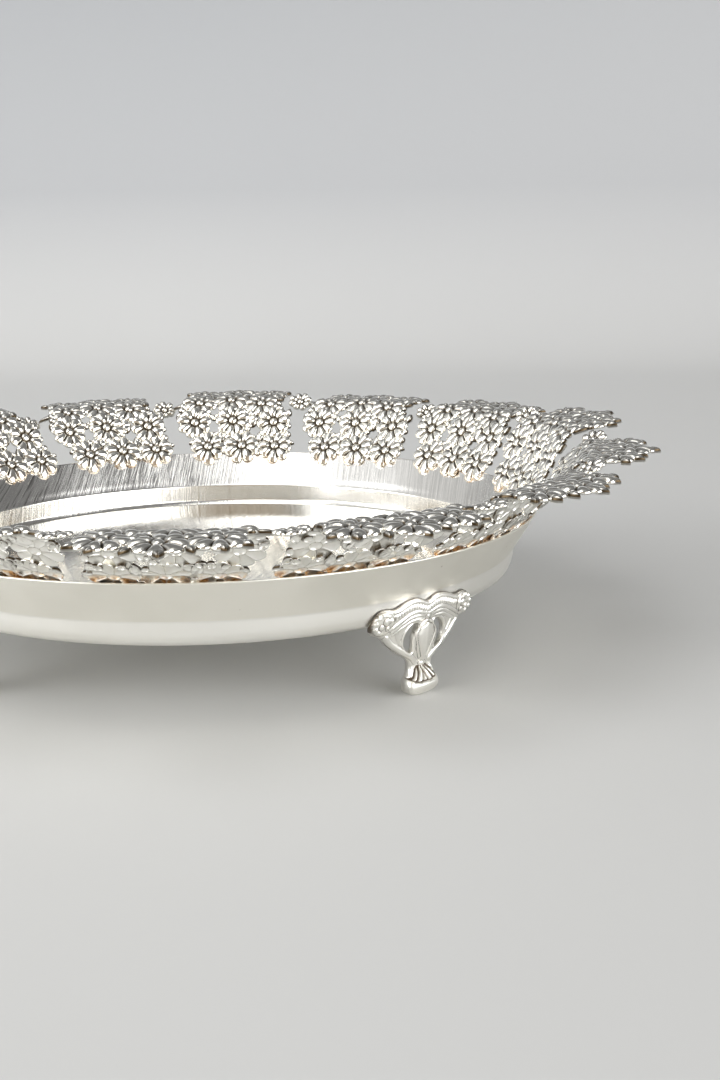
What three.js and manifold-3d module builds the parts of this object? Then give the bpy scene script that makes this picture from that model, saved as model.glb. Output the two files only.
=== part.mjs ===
// Round footed gallery tray, silver plated.
// A spun dish with a flat floor, a short lower band and a flared upper wall,
// a polished floor plate, fourteen openwork flower panels standing on the wall's
// edge and flaring into a nearly level lip, and four pierced scroll feet.
// Millimetres, +Z up. The origin is on the dish's axis, in the plane it stands on.
import * as THREE from "three";
import { mergeVertices } from "three/addons/utils/BufferGeometryUtils.js";
import Module from "manifold-3d";

// ---- driving dimensions -------------------------------------------------
const EDGE_R = 133.3; // outer radius of the wall's top edge
const EDGE_Z = 53.3; // height of the wall's top edge over the table
const CREASE_R = 124.1; // crease between the lower band and the upper wall
const CREASE_Z = 37.8;
const BAND_R = 123.1; // waist of the lower band, just under the crease
const BASE_Z = 28.0; // underside of the dish
const SHEET = 0.9; // sheet thickness of the dish
const FLOOR_R = 119.4; // polished floor plate
const FLOOR_T = 0.7;
const GAP = 0.3; // clearance between pieces that touch
const PANELS = 14;
const PANEL_T = 1.2; // thickness of the cast openwork
const FIRST_PANEL_DEG = -25.24; // centre of panel 1, clockwise from +Y seen from above
// How far each panel is bent outwards about the wall's edge, in radians. They were
// bent by hand, so they differ, and the ones on the -Y side lie lowest.
const PANEL_LEAN = [
  0.05, 0.0, 0.05, 0.02, -0.08, 0.01, 0.05, 0.1, 0.11, 0.1, 0.06, 0.02, 0.0, 0.03,
];
const FEET = 4;
const FIRST_FOOT_DEG = -47.5; // azimuth of foot 1, anticlockwise from +X
const TURN_STEPS = 60; // facets of the dish
const PITCH = 360 / PANELS;

const rad = (deg) => (deg * Math.PI) / 180;

// ---- helpers -------------------------------------------------------------
const wasm = await Module();
wasm.setup();

// A closed three.js geometry as a solid for cutting and joining.
function toSolid(geometry) {
  const bare = geometry.clone();
  bare.deleteAttribute("normal");
  bare.deleteAttribute("uv");
  const merged = mergeVertices(bare, 1e-4);
  const index = merged.index.array;
  const tris = [];
  for (let i = 0; i < index.length; i += 3) {
    const [a, b, c] = [index[i], index[i + 1], index[i + 2]];
    if (a !== b && b !== c && a !== c) tris.push(a, b, c);
  }
  const make = (t) =>
    new wasm.Manifold(
      new wasm.Mesh({
        numProp: 3,
        vertProperties: new Float32Array(merged.attributes.position.array),
        triVerts: new Uint32Array(t),
      }),
    );
  const solid = make(tris);
  if (solid.volume() > 0) return solid;
  for (let i = 0; i < tris.length; i += 3)
    [tris[i + 1], tris[i + 2]] = [tris[i + 2], tris[i + 1]];
  return make(tris);
}

// A solid back as a three.js geometry.
function toGeometry(solid) {
  const m = solid.getMesh();
  const pos = new Float32Array(m.numVert * 3);
  for (let i = 0; i < m.numVert; i++)
    pos.set(m.vertProperties.subarray(i * m.numProp, i * m.numProp + 3), i * 3);
  const g = new THREE.BufferGeometry();
  g.setAttribute("position", new THREE.BufferAttribute(pos, 3));
  g.setIndex(new THREE.BufferAttribute(new Uint32Array(m.triVerts), 1));
  return g;
}

// A ring or disc turned about Z from a profile of [radius, height] points.
function turned(profile, steps) {
  const g = new THREE.LatheGeometry(
    profile.map(([r, z]) => new THREE.Vector2(r, z)),
    steps,
  );
  g.rotateX(Math.PI / 2);
  return g;
}

// An outline with holes, all wound anticlockwise, which is what the extrusion expects.
function shapeOf(points, holes = []) {
  const wound = (list) => {
    const v = list.map(([x, y]) => new THREE.Vector2(x, y));
    return THREE.ShapeUtils.isClockWise(v) ? v.reverse() : v;
  };
  const s = new THREE.Shape(wound(points));
  for (const h of holes) s.holes.push(new THREE.Path(wound(h)));
  return s;
}

// ---- finishes ---------------------------------------------------------------
const satinSilver = () =>
  new THREE.MeshStandardMaterial({
    color: 0xd6d3c9,
    roughness: 0.34,
    metalness: 1.0,
  });
const mirrorSilver = () =>
  new THREE.MeshStandardMaterial({
    color: 0xe9e6dd,
    roughness: 0.08,
    metalness: 1.0,
  });
const castSilver = () =>
  new THREE.MeshStandardMaterial({
    color: 0xe2dfd6,
    roughness: 0.16,
    metalness: 1.0,
  });

const tray = new THREE.Group();
function add(name, geometry, material, parent = tray) {
  const mesh = new THREE.Mesh(geometry, material);
  mesh.name = name;
  parent.add(mesh);
  return mesh;
}

// ---- dish ----------------------------------------------------------------------
// One spun shell: flat base, rounded lower corner, short bright band with a waist,
// crease, straight flared wall and a rounded top edge.
const dishProfile = [
  [0, BASE_Z],
  [118.8, BASE_Z],
  [120.9, BASE_Z + 0.9],
  [122.5, BASE_Z + 2.9],
  [BAND_R + 0.1, BASE_Z + 5.2],
  [BAND_R, BASE_Z + 7.6],
  [CREASE_R, CREASE_Z],
  [125.6, CREASE_Z + 3.0],
  [EDGE_R - 0.25, EDGE_Z - 0.9],
  [EDGE_R, EDGE_Z - 0.35],
  [EDGE_R - 0.3, EDGE_Z],
  [EDGE_R - 0.9, EDGE_Z],
  [124.9, CREASE_Z + 3.2],
  [CREASE_R - SHEET, CREASE_Z + 0.2],
  [BAND_R - SHEET, BASE_Z + 7.8],
  [BAND_R - SHEET + 0.1, BASE_Z + 5.3],
  [121.2, BASE_Z + 3.2],
  [FLOOR_R + 0.9, BASE_Z + SHEET],
  [0, BASE_Z + SHEET],
];
add("tray_body", turned(dishProfile, TURN_STEPS), satinSilver());

// ---- polished floor plate --------------------------------------------------------
const floorZ = BASE_Z + SHEET + GAP;
add(
  "floor_plate",
  turned(
    [
      [0, floorZ],
      [FLOOR_R, floorZ],
      [FLOOR_R, floorZ + FLOOR_T - 0.2],
      [FLOOR_R - 0.3, floorZ + FLOOR_T],
      [0, floorZ + FLOOR_T],
    ],
    TURN_STEPS,
  ),
  mirrorSilver(),
);

// ---- openwork rim panels -----------------------------------------------------------
// Middle line of the panel from just inside the wall's edge to the tip, [radius, height].
const rimLine = [
  [128.0, EDGE_Z - 5.2],
  [130.6, EDGE_Z - 1.0],
  [132.7, EDGE_Z + 2.4],
  [137.8, EDGE_Z + 6.9],
  [142.8, EDGE_Z + 13.8],
  [148.6, EDGE_Z + 20.8],
  [153.4, EDGE_Z + 24.0],
  [160.0, EDGE_Z + 25.2],
  [180.6, EDGE_Z + 26.0],
];
const rimLength = rimLine.map(() => 0);
for (let i = 1; i < rimLine.length; i++)
  rimLength[i] =
    rimLength[i - 1] +
    Math.hypot(
      rimLine[i][0] - rimLine[i - 1][0],
      rimLine[i][1] - rimLine[i - 1][1],
    );
const edgeS = 6.0; // length along the line at which it passes the wall's edge
// Point of the middle line at s millimetres above the wall's edge.
function rimAt(s) {
  const d = Math.min(Math.max(s + edgeS, 0), rimLength.at(-1));
  let i = 1;
  while (i < rimLine.length - 1 && rimLength[i] < d) i++;
  const f = (d - rimLength[i - 1]) / (rimLength[i] - rimLength[i - 1]);
  return [0, 1].map(
    (c) => rimLine[i - 1][c] + f * (rimLine[i][c] - rimLine[i - 1][c]),
  );
}

// The closed ring of sheet that the panels are cut from.
function rimRing() {
  const side = (sign) =>
    rimLine.map(([r, z], i) => {
      const a = rimLine[Math.max(i - 1, 0)];
      const b = rimLine[Math.min(i + 1, rimLine.length - 1)];
      const l = Math.hypot(b[0] - a[0], b[1] - a[1]);
      const n = [(b[1] - a[1]) / l, -(b[0] - a[0]) / l];
      return [
        r + (sign * n[0] * PANEL_T) / 2,
        z + (sign * n[1] * PANEL_T) / 2,
      ];
    });
  const outer = side(1);
  const inner = side(-1).reverse();
  return toSolid(turned([...outer, ...inner, outer[0]], PANELS * 5));
}

// Outline of one panel as [degrees from its centre, millimetres along the line].
// The lower part is three flower scallops, the upper end a leafy point, and the
// free flower on the left stands over the gap to the next panel.
const panelLow = [
  [-10.9, -1.0],
  [-9.6, -4.3],
  [-7.2, -5.5],
  [-4.9, -4.3],
  [-3.8, -1.2],
  [-2.6, -4.3],
  [-0.3, -5.5],
  [2.0, -4.3],
  [3.5, -1.2],
  [5.0, -4.3],
  [7.3, -5.5],
  [9.7, -4.3],
  [11.0, -1.0],
  [11.4, 4.0],
  [10.3, 9.8],
  [10.0, 15.0],
  [10.2, 21.0],
];
const panelHigh = [
  [10.0, 21.0],
  [8.2, 25.5],
  [7.4, 30.0],
  [7.7, 34.5],
  [7.1, 38.5],
  [8.1, 44.0],
  [7.6, 50.0],
  [5.0, 53.0],
  [2.2, 52.0],
  [0.6, 56.8],
  [-1.6, 57.8],
  [-3.8, 55.0],
  [-4.6, 52.0],
  [-7.4, 53.4],
  [-10.0, 50.0],
  [-10.4, 45.5],
  [-9.9, 41.0],
  [-10.6, 36.6],
  [-12.7, 37.0],
  [-13.2, 40.6],
  [-15.0, 42.8],
  [-16.7, 41.0],
  [-17.2, 37.0],
  [-16.5, 33.2],
  [-14.9, 31.3],
  [-13.2, 31.9],
  [-11.6, 29.2],
  [-10.9, 26.6],
  [-12.4, 24.0],
  [-13.0, 22.5],
  [-12.9, 21.0],
];
const panelLowLeft = [
  [-13.3, 21.0],
  [-13.4, 17.5],
  [-12.4, 13.6],
  [-10.7, 11.0],
  [-10.6, 8.0],
  [-11.3, 4.0],
];
const SPLIT_S = 21.0; // below this the panel is steep and is cut sideways, above it from the top
const hexagon = (t, s, ht, hs) =>
  [0, 60, 120, 180, 240, 300].map((a) => [
    t + ht * Math.cos(rad(a)),
    s + hs * Math.sin(rad(a)),
  ]);
const lowHoles = [hexagon(-5.7, 16.2, 0.95, 2.5), hexagon(2.7, 13.4, 1.15, 2.3)];
const highHoles = [hexagon(-5.5, 25.6, 0.9, 2.1)];
// Sideways view of the steep part: x across, z up.
const sideways = ([t, s]) => {
  const [r, z] = rimAt(s);
  return [r * Math.sin(rad(t)), s <= -5.5 ? z - 0.8 : z];
};
// Plan view of the level part.
const fromAbove = ([t, s]) => {
  const [r] = rimAt(s);
  return [r * Math.sin(rad(t)), r * Math.cos(rad(t))];
};

function panelCutter() {
  const zSplit = rimAt(SPLIT_S)[1];
  const low = new THREE.ExtrudeGeometry(
    shapeOf(
      [...panelLow, ...panelLowLeft].map(sideways),
      lowHoles.map((h) => h.map(sideways)),
    ),
    { depth: 90, bevelEnabled: false },
  );
  low.rotateX(Math.PI / 2); // x across, z up, depth towards -Y
  low.translate(0, 200, 0);
  const high = new THREE.ExtrudeGeometry(
    shapeOf(
      panelHigh.map(fromAbove),
      highHoles.map((h) => h.map(fromAbove)),
    ),
    { depth: 30, bevelEnabled: false },
  );
  high.translate(0, 0, zSplit - 0.02);
  return toSolid(low).add(toSolid(high));
}

// Bends a panel outwards about the wall's edge by a small angle.
function lean(geometry, angle) {
  const p = geometry.attributes.position;
  for (let i = 0; i < p.count; i++) {
    const [x, y, z] = [p.getX(i), p.getY(i), p.getZ(i)];
    const r = Math.hypot(x, y);
    const up = z - EDGE_Z;
    const k = angle * Math.min(Math.max((up + 1.0) / 6.0, 0), 1);
    const dr = r - EDGE_R;
    const r2 = EDGE_R + dr * Math.cos(k) + up * Math.sin(k);
    const z2 = EDGE_Z - dr * Math.sin(k) + up * Math.cos(k);
    p.setXYZ(i, (x * r2) / r, (y * r2) / r, z2);
  }
  return geometry;
}

const rim = new THREE.Group();
tray.add(rim);
const panelSolid = rimRing().intersect(panelCutter());
for (let k = 0; k < PANELS; k++) {
  const t = FIRST_PANEL_DEG + PITCH * k;
  const mesh = add(
    "rim_panel_" + String(k + 1).padStart(2, "0"),
    lean(toGeometry(panelSolid), PANEL_LEAN[k]),
    castSilver(),
    rim,
  );
  mesh.rotation.z = -rad(t);
}

// ---- feet ------------------------------------------------------------------------
// Right half of a foot's front outline, [across, up]: two-arched top with an end
// lobe, sides drawn in to a neck, and a rounded toe with a flat sole.
const footHalf = [
  [0, 34.9],
  [3.0, 36.0],
  [6.5, 36.6],
  [10.5, 36.0],
  [14.5, 34.5],
  [18.0, 34.5],
  [21.5, 34.4],
  [24.0, 32.0],
  [24.4, 29.0],
  [22.4, 26.0],
  [18.8, 24.0],
  [16.0, 21.2],
  [11.0, 16.6],
  [7.0, 13.8],
  [5.4, 11.6],
  [5.5, 9.2],
  [6.8, 5.8],
  [7.1, 3.2],
  [5.6, 1.0],
  [3.8, -0.5],
];
const footSlot = [
  [3.8, 26.8],
  [6.4, 26.2],
  [8.8, 24.0],
  [9.4, 21.0],
  [8.2, 18.6],
  [6.2, 17.0],
  [5.4, 18.2],
  [6.0, 20.6],
  [5.8, 23.0],
  [4.5, 25.2],
];
// Side section of a foot, [radius, height]: a plate against the band outside,
// drawn in under the dish, with a thick scrolled toe.
const footSection = [
  [125.8, 37.2],
  [125.6, 33.0],
  [124.2, 27.8],
  [122.0, 20.5],
  [121.1, 13.8],
  [121.6, 9.0],
  [122.5, 5.4],
  [122.3, 1.8],
  [121.0, 0.0],
  [117.8, 0.0],
  [117.6, 3.8],
  [118.2, 8.6],
  [118.8, 13.5],
  [119.6, 20.0],
  [120.7, 26.0],
  [121.5, 28.7],
  [123.1, 30.9],
  [123.7, 33.2],
  [123.7, 35.2],
  [124.3, 37.2],
  [125.8, 37.2],
];
function footSolid() {
  const mirrored = footHalf
    .slice(1)
    .map(([x, y]) => [-x, y])
    .reverse();
  const plate = new THREE.ExtrudeGeometry(
    shapeOf(
      [...footHalf, ...mirrored],
      [footSlot, footSlot.map(([x, y]) => [-x, y])],
    ),
    { depth: 30, bevelEnabled: false },
  );
  plate.rotateX(Math.PI / 2);
  plate.translate(0, 135, 0);
  return toSolid(turned(footSection, 72)).intersect(toSolid(plate));
}
// Under the dish the middle of a foot stands proud and its two sides fall back.
function bulge(geometry) {
  const p = geometry.attributes.position;
  for (let i = 0; i < p.count; i++) {
    const [x, y, z] = [p.getX(i), p.getY(i), p.getZ(i)];
    const r = Math.hypot(x, y);
    const across = (Math.atan2(x, y) * r) / 20;
    const rise = Math.sin(Math.PI * Math.min(Math.max((z - 11) / 17, 0), 1));
    const dr = rise * Math.max(1.5 - 2.6 * across * across, -1.1);
    p.setXYZ(i, (x * (r + dr)) / r, (y * (r + dr)) / r, z);
  }
  return geometry;
}

const feet = new THREE.Group();
tray.add(feet);
const foot = footSolid();
for (let k = 0; k < FEET; k++) {
  const mesh = add(
    "foot_" + (k + 1),
    bulge(toGeometry(foot)),
    castSilver(),
    feet,
  );
  // the foot is made facing +Y, azimuth 90
  mesh.rotation.z = rad(FIRST_FOOT_DEG - 90 + (360 / FEET) * k);
}

tray.name = "round_tray";
export default tray;
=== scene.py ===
import math

import bpy
import numpy as np
from mathutils import Matrix, Vector


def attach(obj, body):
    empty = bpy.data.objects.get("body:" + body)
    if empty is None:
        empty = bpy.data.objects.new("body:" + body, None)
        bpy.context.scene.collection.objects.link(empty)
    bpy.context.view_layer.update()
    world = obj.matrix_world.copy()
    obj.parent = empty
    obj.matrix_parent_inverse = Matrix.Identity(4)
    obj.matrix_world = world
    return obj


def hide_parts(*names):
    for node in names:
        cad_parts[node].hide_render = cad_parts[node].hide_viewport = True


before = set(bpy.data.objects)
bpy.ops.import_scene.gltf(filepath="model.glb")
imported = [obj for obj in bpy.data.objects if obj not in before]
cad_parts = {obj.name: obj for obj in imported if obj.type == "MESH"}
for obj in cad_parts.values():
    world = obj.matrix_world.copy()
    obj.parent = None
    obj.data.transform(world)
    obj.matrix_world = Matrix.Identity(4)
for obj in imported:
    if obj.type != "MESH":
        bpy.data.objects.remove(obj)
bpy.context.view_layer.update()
MM = 0.001

# ---------------------------------------------------------------- dimensions (mm)
EDGE_R, EDGE_Z = 133.3, 53.3
CREASE_R, CREASE_Z = 124.1, 37.8
BASE_Z = 28.0
FLOOR_R = 119.4
FLOOR_TOP = 29.9
PANELS = 14
FIRST_PANEL_DEG = -25.24
PITCH = 360.0 / PANELS
PANEL_LEAN = [0.05, 0.0, 0.05, 0.02, -0.08, 0.01, 0.05, 0.1, 0.11, 0.1, 0.06, 0.02, 0.0, 0.03]
FIRST_FOOT_DEG = -47.5
RIM_LINE = [
    (128.0, -5.2), (130.6, -1.0), (132.7, 2.4), (137.8, 6.9), (142.8, 13.8),
    (148.6, 20.8), (153.4, 24.0), (160.0, 25.2), (180.6, 26.0),
]
EDGE_S = 6.0  # length along the line at which it passes the wall's edge


# ---------------------------------------------------------------- mesh helpers
def make_object(name, verts, quads, tris=None, attributes=None, uv=None, smooth=True):
    """A mesh object from arrays: verts in mm, quads and tris as index arrays."""
    quads = np.asarray(quads, np.int32).reshape(-1, 4)
    tris = np.asarray(tris if tris is not None else [], np.int32).reshape(-1, 3)
    me = bpy.data.meshes.new(name)
    me.vertices.add(len(verts))
    me.vertices.foreach_set("co", (np.asarray(verts, np.float32) * MM).ravel())
    nl = quads.size + tris.size
    me.loops.add(nl)
    loops = np.r_[quads.ravel(), tris.ravel()].astype(np.int32)
    me.loops.foreach_set("vertex_index", loops)
    me.polygons.add(len(quads) + len(tris))
    starts = np.r_[np.arange(len(quads)) * 4, quads.size + np.arange(len(tris)) * 3].astype(np.int32)
    me.polygons.foreach_set("loop_start", starts)
    me.update(calc_edges=True)
    if smooth:
        me.polygons.foreach_set("use_smooth", np.ones(len(me.polygons), bool))
    if uv is not None:
        layer = me.uv_layers.new(name="surface")
        layer.data.foreach_set("uv", np.asarray(uv, np.float32)[loops].ravel())
    for key, values in (attributes or {}).items():
        a = me.attributes.new(key, "FLOAT", "POINT")
        a.data.foreach_set("value", np.asarray(values, np.float32))
    me.validate()
    ob = bpy.data.objects.new(name, me)
    bpy.context.scene.collection.objects.link(ob)
    return ob


def natural_spline(x, y, xq):
    n = len(x)
    h = np.diff(x)
    A = np.zeros((n, n))
    b = np.zeros(n)
    A[0, 0] = A[-1, -1] = 1
    for i in range(1, n - 1):
        A[i, i - 1], A[i, i], A[i, i + 1] = h[i - 1], 2 * (h[i - 1] + h[i]), h[i]
        b[i] = 6 * ((y[i + 1] - y[i]) / h[i] - (y[i] - y[i - 1]) / h[i - 1])
    m = np.linalg.solve(A, b)
    i = np.clip(np.searchsorted(x, xq) - 1, 0, n - 2)
    a, c = x[i + 1] - xq, xq - x[i]
    return (
        m[i] * a**3 / (6 * h[i])
        + m[i + 1] * c**3 / (6 * h[i])
        + (y[i] / h[i] - m[i] * h[i] / 6) * a
        + (y[i + 1] / h[i] - m[i + 1] * h[i] / 6) * c
    )


def smoothstep(x, a, b):
    t = np.clip((x - a) / (b - a), 0, 1)
    return t * t * (3 - 2 * t)


# ---------------------------------------------------------------- node helpers
def new_material(name):
    m = bpy.data.materials.new(name)
    m.use_nodes = True
    nt = m.node_tree
    nt.nodes.clear()
    out = nt.nodes.new("ShaderNodeOutputMaterial")
    bsdf = nt.nodes.new("ShaderNodeBsdfPrincipled")
    nt.links.new(bsdf.outputs["BSDF"], out.inputs["Surface"])
    return m, nt, bsdf


class Graph:
    """Short names for the nodes that the materials use."""

    def __init__(self, nt):
        self.nt = nt

    def node(self, kind, **props):
        n = self.nt.nodes.new(kind)
        for k, v in props.items():
            setattr(n, k, v)
        return n

    def link(self, a, b):
        self.nt.links.new(a, b)
        return b

    def set(self, socket, value):
        if isinstance(value, bpy.types.NodeSocket):
            self.nt.links.new(value, socket)
        else:
            socket.default_value = value

    def math(self, op, a, b=None, c=None, clamp=False):
        n = self.node("ShaderNodeMath", operation=op, use_clamp=clamp)
        self.set(n.inputs[0], a)
        if b is not None:
            self.set(n.inputs[1], b)
        if c is not None:
            self.set(n.inputs[2], c)
        return n.outputs[0]

    def vmath(self, op, a, b=None):
        n = self.node("ShaderNodeVectorMath", operation=op)
        self.set(n.inputs[0], a)
        if b is not None:
            self.set(n.inputs[1], b)
        return n.outputs["Value"] if op in ("DOT_PRODUCT", "LENGTH") else n.outputs[0]

    def attr(self, name):
        return self.node("ShaderNodeAttribute", attribute_name=name).outputs["Fac"]

    def object_coords(self):
        return self.node("ShaderNodeTexCoord").outputs["Object"]

    def uv(self):
        return self.node("ShaderNodeUVMap", uv_map="surface").outputs["UV"]

    def scaled(self, vector, scale):
        n = self.node("ShaderNodeMapping")
        self.link(vector, n.inputs["Vector"])
        n.inputs["Scale"].default_value = scale
        return n.outputs["Vector"]

    def noise(self, vector, scale, detail=2.0, rough=0.5, out="Fac"):
        n = self.node("ShaderNodeTexNoise")
        self.link(vector, n.inputs["Vector"])
        n.inputs["Scale"].default_value = scale
        n.inputs["Detail"].default_value = detail
        n.inputs["Roughness"].default_value = rough
        return n.outputs[out]

    def ramp(self, value, lo, hi, out_lo=0.0, out_hi=1.0, smooth=True):
        n = self.node("ShaderNodeMapRange", interpolation_type="SMOOTHSTEP" if smooth else "LINEAR")
        self.set(n.inputs["Value"], value)
        n.inputs["From Min"].default_value = lo
        n.inputs["From Max"].default_value = hi
        n.inputs["To Min"].default_value = out_lo
        n.inputs["To Max"].default_value = out_hi
        return n.outputs["Result"]

    def mix(self, fac, a, b):
        n = self.node("ShaderNodeMix", data_type="RGBA")
        self.set(n.inputs[0], fac)
        self.set(n.inputs[6], a)
        self.set(n.inputs[7], b)
        return n.outputs[2]

    def bump(self, height, strength, distance, normal=None):
        n = self.node("ShaderNodeBump")
        n.inputs["Strength"].default_value = strength
        n.inputs["Distance"].default_value = distance
        self.link(height, n.inputs["Height"])
        if normal is not None:
            self.link(normal, n.inputs["Normal"])
        return n.outputs["Normal"]


# ---------------------------------------------------------------- materials
def specks(g, coords, scale, size):
    """Sparse small dots, 0 to 1: pinholes and dust on the plating."""
    v = g.node("ShaderNodeTexVoronoi", feature="F1")
    g.link(coords, v.inputs["Vector"])
    v.inputs["Scale"].default_value = scale
    near = g.ramp(v.outputs["Distance"], size, 0.0, 0.0, 1.0)
    chosen = g.math("GREATER_THAN", g.node_red(v.outputs["Color"]), 0.86)
    return g.math("MULTIPLY", near, chosen)


def node_red(self, colour):
    n = self.node("ShaderNodeSeparateColor")
    self.link(colour, n.inputs[0])
    return n.outputs[0]


Graph.node_red = node_red


def satin_material():
    """Outside of the dish: satin plate with faint turning lines and a few specks."""
    m, nt, b = new_material("satin_plate")
    g = Graph(nt)
    uv = g.uv()
    obj = g.object_coords()
    clouds = g.noise(obj, 22.0, 3.0, 0.55)
    lines = g.noise(g.scaled(uv, (6.0, 1500.0, 1.0)), 1.0, 3.0, 0.6)
    base = g.mix(g.ramp(clouds, 0.3, 0.7), (0.90, 0.88, 0.805, 1), (0.975, 0.955, 0.885, 1))
    spots = specks(g, obj, 190.0, 0.11)
    base = g.mix(g.math("MULTIPLY", spots, 0.55), base, (0.20, 0.15, 0.09, 1))
    g.link(base, b.inputs["Base Color"])
    b.inputs["Metallic"].default_value = 1.0
    rough = g.math("ADD", g.ramp(lines, 0.2, 0.8, 0.33, 0.40), g.math("MULTIPLY", clouds, 0.06))
    g.link(rough, b.inputs["Roughness"])
    g.link(g.bump(lines, 0.08, 0.00012), b.inputs["Normal"])
    return m


def polished_band_material():
    """Outside lower band and foot of the dish: brighter, smoother plate."""
    m, nt, b = new_material("polished_plate")
    g = Graph(nt)
    uv = g.uv()
    obj = g.object_coords()
    clouds = g.noise(obj, 30.0, 3.0, 0.5)
    lines = g.noise(g.scaled(uv, (5.0, 1300.0, 1.0)), 1.0, 3.0, 0.6)
    base = g.mix(g.ramp(clouds, 0.3, 0.7), (0.95, 0.935, 0.88, 1), (0.985, 0.975, 0.93, 1))
    g.link(base, b.inputs["Base Color"])
    b.inputs["Metallic"].default_value = 1.0
    g.link(g.ramp(lines, 0.2, 0.8, 0.33, 0.39), b.inputs["Roughness"])
    g.link(g.bump(lines, 0.06, 0.0001), b.inputs["Normal"])
    return m


BRUSH_DEG = 75.0  # direction of the straight brushing in plan, from +X


def brush_coords(g, across, along):
    """Coordinates that run fast across the brushing and slowly along it, up the walls too."""
    turn = g.node("ShaderNodeMapping")
    g.link(g.object_coords(), turn.inputs["Vector"])
    turn.inputs["Rotation"].default_value = (0, 0, math.radians(90 - BRUSH_DEG))
    return g.scaled(turn.outputs["Vector"], (across, along, along))


def across_tangent(g):
    """The direction across the brushing, in the surface."""
    a = math.radians(BRUSH_DEG)
    normal = g.node("ShaderNodeNewGeometry").outputs["Normal"]
    along = g.vmath("CROSS_PRODUCT", normal, (math.sin(a), -math.cos(a), 0.0))
    return g.vmath("NORMALIZE", g.vmath("CROSS_PRODUCT", along, normal))


def brushed_material(name, strength, rough_lo, rough_hi, tint_lo, tint_hi, scratch=(0.16, 0.14, 0.13, 1), scratch_lo=0.52):
    """Inside of the dish: sheet brushed in straight lines before it was formed, with more dark scratch colour on the
    left side as painted shade.
    """
    m, nt, b = new_material(name)
    g = Graph(nt)
    coarse = g.noise(brush_coords(g, 1050.0, 26.0), 1.0, 3.0, 0.6)
    hair = g.noise(brush_coords(g, 2600.0, 40.0), 1.0, 2.0, 0.55)
    bold = g.noise(brush_coords(g, 1900.0, 44.0), 1.0, 2.0, 0.55)
    patch = g.noise(brush_coords(g, 26.0, 20.0), 1.0, 2.0, 0.5)
    amount = g.ramp(patch, 0.34, 0.66, 0.55, 1.0)
    streak = g.math("ADD", g.math("MULTIPLY", coarse, 0.7), g.math("MULTIPLY", hair, 0.3))
    place = g.node("ShaderNodeSeparateXYZ")
    g.link(g.object_coords(), place.inputs[0])
    # the dark scratch colour and the streaks are stronger on the left side (-X): partly real brushing, partly painted
    # shade for the darker reflection there
    amount = g.math("MULTIPLY", amount, g.ramp(place.outputs[0], -0.035, 0.02, 1.0, 0.3))
    streak = g.math("MULTIPLY", streak, amount)
    base = g.mix(g.ramp(coarse, 0.32, 0.68), tint_lo, tint_hi)
    deep = g.math("MULTIPLY", g.ramp(bold, scratch_lo, scratch_lo + 0.12), amount)
    base = g.mix(g.math("MULTIPLY", deep, 0.72), base, scratch)
    g.link(base, b.inputs["Base Color"])
    b.inputs["Metallic"].default_value = 1.0
    g.link(g.ramp(hair, 0.25, 0.75, rough_lo, rough_hi), b.inputs["Roughness"])
    g.link(g.bump(streak, strength, 0.0006), b.inputs["Normal"])
    b.inputs["Anisotropic"].default_value = 0.6
    g.link(across_tangent(g), b.inputs["Tangent"])
    return m


def mirror_material():
    """Polished floor plate with faint wiping marks."""
    m, nt, b = new_material("mirror_plate")
    g = Graph(nt)
    obj = g.object_coords()
    smear = g.noise(g.scaled(obj, (9.0, 26.0, 1.0)), 1.0, 4.0, 0.6)
    fine = g.noise(brush_coords(g, 1300.0, 26.0), 1.0, 3.0, 0.6)
    base = g.mix(g.ramp(smear, 0.3, 0.7), (0.90, 0.885, 0.84, 1), (0.945, 0.935, 0.89, 1))
    hair = g.noise(brush_coords(g, 900.0, 30.0), 1.0, 3.0, 0.6)
    base = g.mix(g.ramp(hair, 0.5, 0.72, 0.0, 0.42), base, (0.62, 0.57, 0.48, 1))
    g.link(base, b.inputs["Base Color"])
    b.inputs["Metallic"].default_value = 1.0
    g.link(g.ramp(smear, 0.25, 0.75, 0.045, 0.10), b.inputs["Roughness"])
    g.link(g.bump(fine, 0.2, 0.0003), b.inputs["Normal"])
    b.inputs["Anisotropic"].default_value = 0.5
    g.link(across_tangent(g), b.inputs["Tangent"])
    return m


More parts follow.
